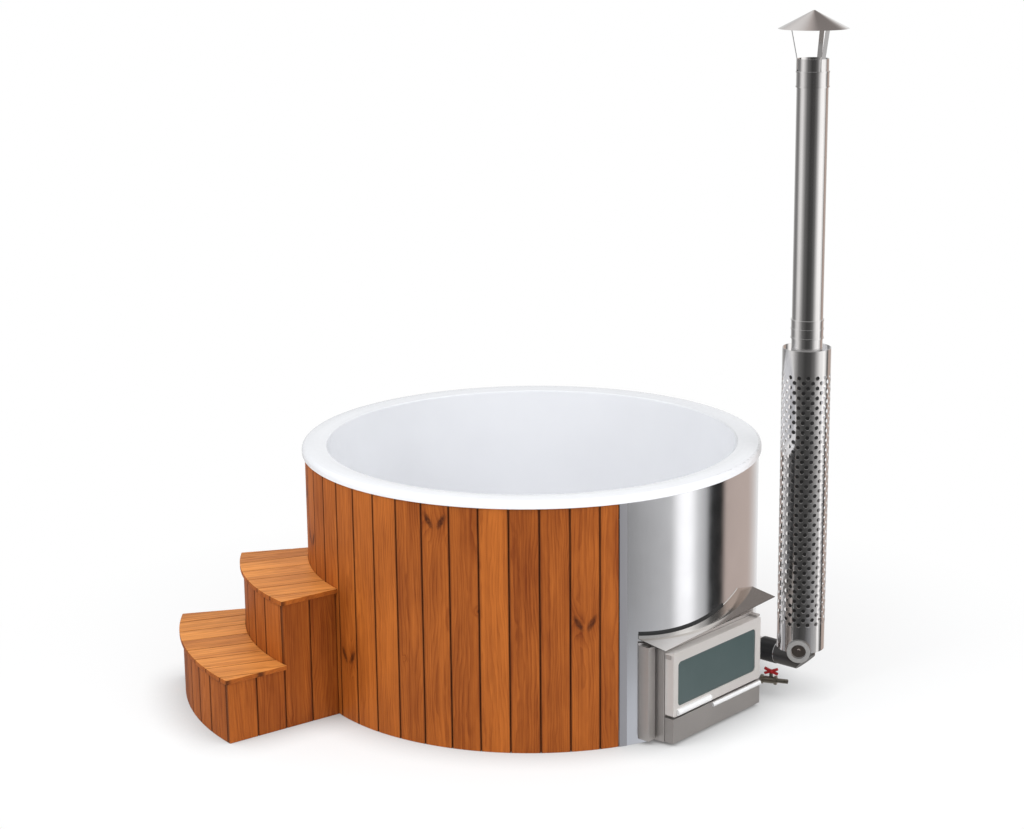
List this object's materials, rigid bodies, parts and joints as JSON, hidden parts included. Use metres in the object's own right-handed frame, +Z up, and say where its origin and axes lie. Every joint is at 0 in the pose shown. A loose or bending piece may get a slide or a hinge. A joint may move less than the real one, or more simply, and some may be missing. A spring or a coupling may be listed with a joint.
{
  "type": "hot tub",
  "caption": "Round wood-clad hot tub with a white moulded basin, a stove with a glass door behind a steel panel, a guarded chimney, a drain valve and curved steps.",
  "frame": {"origin": "on the floor under the tub's centre, on the underside of the middle base joist", "axes": "+X out of the stove door, +Z up, chimney on the +Y side, steps towards -X and -Y"},
  "size_m": [2.3486, 2.4897, 2.908],
  "materials": {
    "white_shell": "gloss white moulded gelcoat",
    "warm_wood": "satin oiled heat-treated pine",
    "frame_wood": "sawn softwood",
    "panel_steel": "satin sheet",
    "stove_steel": "satin sheet",
    "bright_steel": "polished",
    "chimney_steel": "satin sheet",
    "flue_steel": "dulled by heat",
    "trim_steel": "satin strip",
    "heat_stained_steel": "heat stained",
    "black_paint": "matt heat-proof paint",
    "fire_plate": "sooted plate",
    "grate_iron": "raw casting",
    "door_glass": "dark heat-proof glass",
    "rope_gasket": "glass-fibre rope",
    "black_rubber": "matt",
    "white_plastic": "satin",
    "grey_plastic": "satin",
    "valve_brass": "nickel-washed brass",
    "red_paint": "gloss red"
  },
  "bodies": {
    "tub": {"base_joist_centre": "frame_wood", "base_joists": "frame_wood", "basin_shell": "white_shell", "bottom_hoop": "frame_wood", "canopy_seal": "black_rubber", "cap_adapter": "chimney_steel", "cap_straps": "chimney_steel", "chimney_elbow": "flue_steel", "chimney_guard": "chimney_steel", "chimney_pipe_lower": "chimney_steel", "chimney_pipe_upper": "chimney_steel", "cladding_boards_1": "warm_wood", "cladding_boards_2": "warm_wood", "cladding_boards_3": "warm_wood", "cladding_boards_4": "warm_wood", "drain_pipe": "grey_plastic", "drain_valve": "valve_brass", "fire_grate": "grate_iron", "firebox": "fire_plate", "flue_pipe": "chimney_steel", "flue_sleeve": "black_paint", "guard_spacers": "chimney_steel", "hinge_brackets": "stove_steel", "hose_tail": "valve_brass", "middle_hoop": "frame_wood", "panel_battens": "frame_wood", "panel_trims": "trim_steel", "pipe_clamps": "chimney_steel", "pipe_coupling": "chimney_steel", "rain_cap": "chimney_steel", "smoke_box": "stove_steel", "step_end_boards": "warm_wood", "step_rails": "frame_wood", "step_riser_lower": "warm_wood", "step_riser_upper": "warm_wood", "step_tread_lower": "warm_wood", "step_tread_upper": "warm_wood", "stove_canopy": "stove_steel", "stove_feet": "black_paint", "stove_front_plate": "stove_steel", "stove_panel": "panel_steel", "stove_post_left": "stove_steel", "stove_post_right": "stove_steel", "top_hoop": "frame_wood", "wall_studs": "frame_wood", "water_grilles": "white_plastic", "water_jacket": "stove_steel", "water_pipe_lower": "black_rubber", "water_pipe_upper": "black_rubber"},
    "stove_door": {"door_frame": "stove_steel", "door_glass": "door_glass", "glass_retainer": "fire_plate", "door_gasket": "rope_gasket", "door_handle": "bright_steel", "door_catch": "stove_steel"},
    "ash_drawer": {"ash_drawer": "stove_steel", "drawer_front": "stove_steel", "drawer_handle": "bright_steel"},
    "drain_handle": {"drain_handle": "red_paint"},
    "cleaning_plug": {"cleaning_plug": "heat_stained_steel"}
  },
  "joints": [
    {"name": "stove_door_hinge", "type": "hinge", "parent": "tub", "child": "stove_door", "pos_m": [1.022, 0.26, 0.2635], "axis": [0, 0, 1], "range_deg": [0, 110]},
    {"name": "ash_drawer_slide", "type": "slide", "parent": "tub", "child": "ash_drawer", "axis": [1, 0, 0], "range_m": [0, 0.3]},
    {"name": "drain_handle_turn", "type": "hinge", "parent": "tub", "child": "drain_handle", "pos_m": [1.00904, 0.40154, 0.1], "axis": [0, 0, 1], "range_deg": [0, 90]},
    {"name": "cleaning_plug_slide", "type": "slide", "parent": "tub", "child": "cleaning_plug", "axis": [0.5, -0.866, 0], "range_m": [0, 0.06]}
  ]
}
